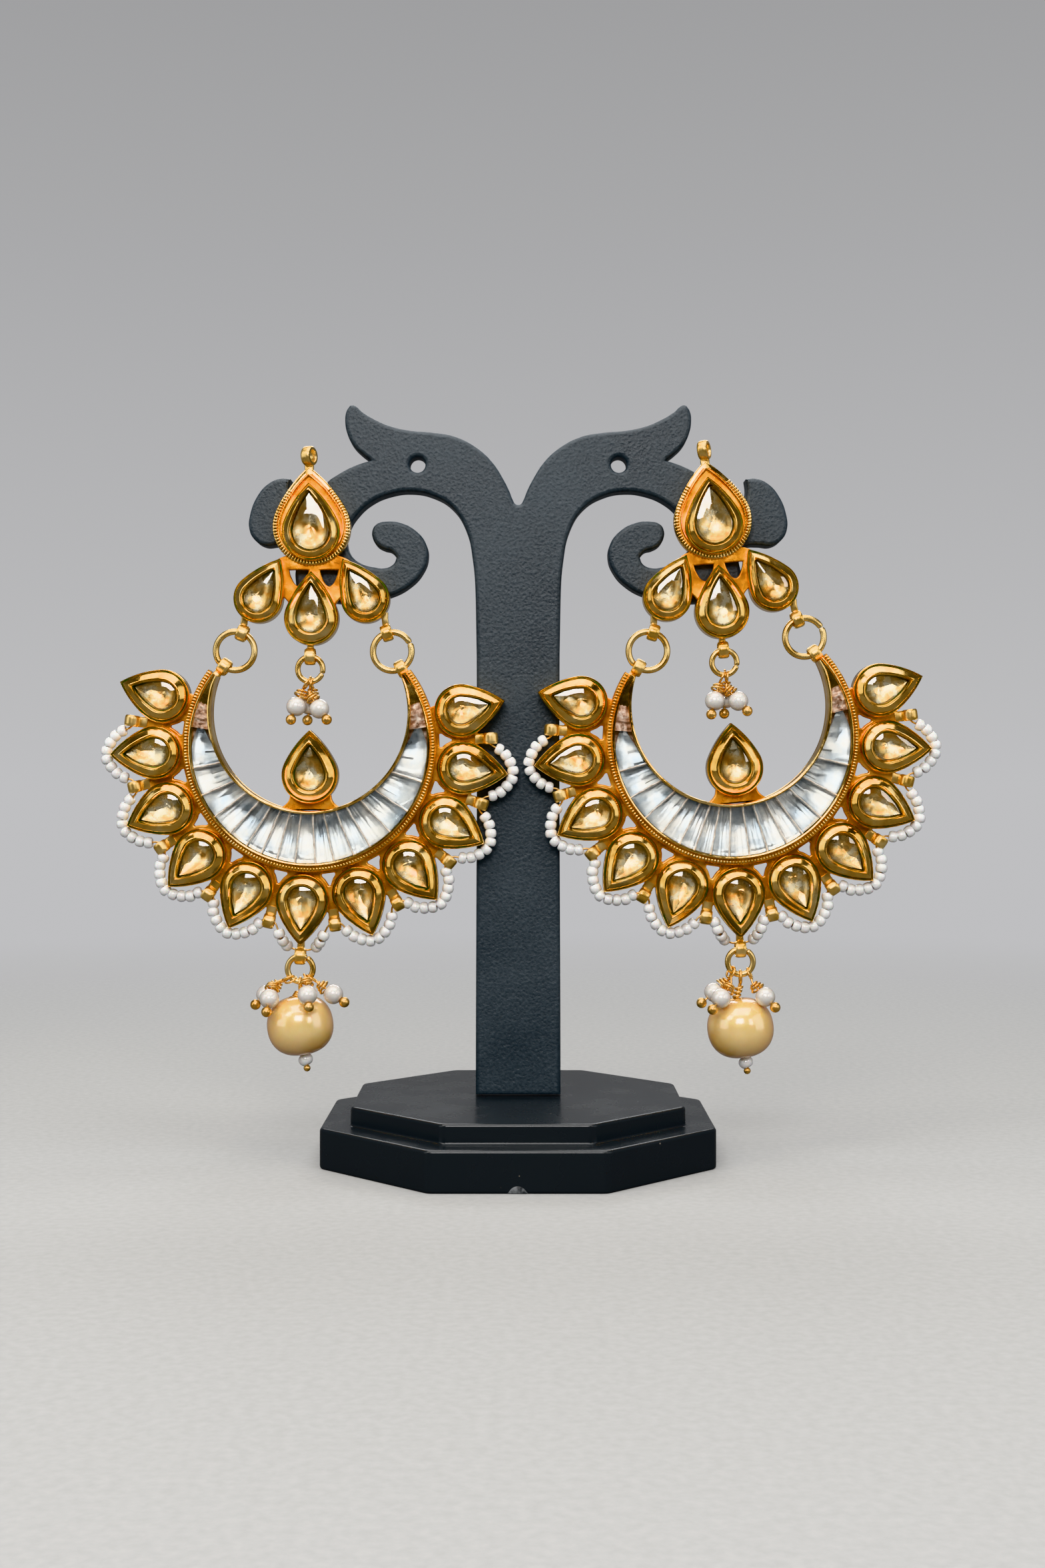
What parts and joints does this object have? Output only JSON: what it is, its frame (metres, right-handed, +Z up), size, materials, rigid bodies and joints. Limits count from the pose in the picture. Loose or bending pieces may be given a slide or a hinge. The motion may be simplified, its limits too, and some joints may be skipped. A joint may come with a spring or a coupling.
{
  "type": "pair of chandbali earrings on a display stand",
  "caption": "Pair of gold-plated chandbali earrings with foiled stones, bead fringe and pearl drops, hanging on a two-armed black plastic display stand.",
  "frame": {"origin": "middle of the stand's base, on the surface it stands on", "axes": "+Z up, earrings facing -Y, +X to the viewer's right"},
  "size_m": [0.1209, 0.0554, 0.1086],
  "materials": {
    "gold_plating": "polished gold plating, satin on the webs",
    "champagne_stone": "foil-backed champagne glass, facetted",
    "clear_stone": "foil-backed clear glass, facetted",
    "seed_bead": "pearl-white lustred glass seed beads on gold thread",
    "small_pearl": "off-white imitation pearl with gold balls and wires",
    "golden_pearl": "golden champagne imitation pearl, soft lustre",
    "slate_plastic": "fine leather-grained black plastic",
    "black_plastic": "smooth semi-gloss black plastic"
  },
  "bodies": {
    "stand": {"stand_base": "black_plastic", "stand_plate": "slate_plastic", "left_top_frame": "gold_plating", "left_main_stone": "champagne_stone", "left_top_stone_left": "champagne_stone", "left_top_stone_centre": "champagne_stone", "left_top_stone_right": "champagne_stone", "left_ear_nut": "gold_plating", "left_centre_ring": "gold_plating", "left_centre_pearls": "small_pearl", "right_top_frame": "gold_plating", "right_main_stone": "champagne_stone", "right_top_stone_left": "champagne_stone", "right_top_stone_centre": "champagne_stone", "right_top_stone_right": "champagne_stone", "right_ear_nut": "gold_plating", "right_centre_ring": "gold_plating", "right_centre_pearls": "small_pearl"},
    "left_crescent": {"left_link_ring_left": "gold_plating", "left_link_ring_right": "gold_plating", "left_crescent_frame": "gold_plating", "left_crescent_stones": "clear_stone", "left_petal_stone_01": "champagne_stone", "left_petal_stone_02": "champagne_stone", "left_petal_stone_03": "champagne_stone", "left_petal_stone_04": "champagne_stone", "left_petal_stone_05": "champagne_stone", "left_petal_stone_06": "champagne_stone", "left_petal_stone_07": "champagne_stone", "left_petal_stone_08": "champagne_stone", "left_petal_stone_09": "champagne_stone", "left_petal_stone_10": "champagne_stone", "left_petal_stone_11": "champagne_stone", "left_inner_stone": "champagne_stone", "left_bead_fringe": "seed_bead"},
    "left_drop": {"left_drop_ring": "gold_plating", "left_drop_pearl": "golden_pearl", "left_drop_small_pearls_left": "small_pearl", "left_drop_small_pearls_right": "small_pearl"},
    "right_crescent": {"right_link_ring_left": "gold_plating", "right_link_ring_right": "gold_plating", "right_crescent_frame": "gold_plating", "right_crescent_stones": "clear_stone", "right_petal_stone_01": "champagne_stone", "right_petal_stone_02": "champagne_stone", "right_petal_stone_03": "champagne_stone", "right_petal_stone_04": "champagne_stone", "right_petal_stone_05": "champagne_stone", "right_petal_stone_06": "champagne_stone", "right_petal_stone_07": "champagne_stone", "right_petal_stone_08": "champagne_stone", "right_petal_stone_09": "champagne_stone", "right_petal_stone_10": "champagne_stone", "right_petal_stone_11": "champagne_stone", "right_inner_stone": "champagne_stone", "right_bead_fringe": "seed_bead"},
    "right_drop": {"right_drop_ring": "gold_plating", "right_drop_pearl": "golden_pearl", "right_drop_small_pearls_left": "small_pearl", "right_drop_small_pearls_right": "small_pearl"}
  },
  "joints": [
    {"name": "left_crescent_swing", "type": "hinge", "parent": "stand", "child": "left_crescent", "pos_m": [-0.0296, -0.00365, 0.07542], "axis": [-1, 0, 0], "range_deg": [0, 60]},
    {"name": "left_drop_swing", "type": "hinge", "parent": "left_crescent", "child": "left_drop", "pos_m": [-0.03134, -0.00365, 0.02894], "axis": [-1, 0, 0], "range_deg": [-45, 45]},
    {"name": "right_crescent_swing", "type": "hinge", "parent": "stand", "child": "right_crescent", "pos_m": [0.0295, -0.00365, 0.0764], "axis": [-0.9959, 0, -0.0906], "range_deg": [0, 60]},
    {"name": "right_drop_swing", "type": "hinge", "parent": "right_crescent", "child": "right_drop", "pos_m": [0.03198, -0.00365, 0.02995], "axis": [-1, 0, 0], "range_deg": [-45, 45]}
  ]
}
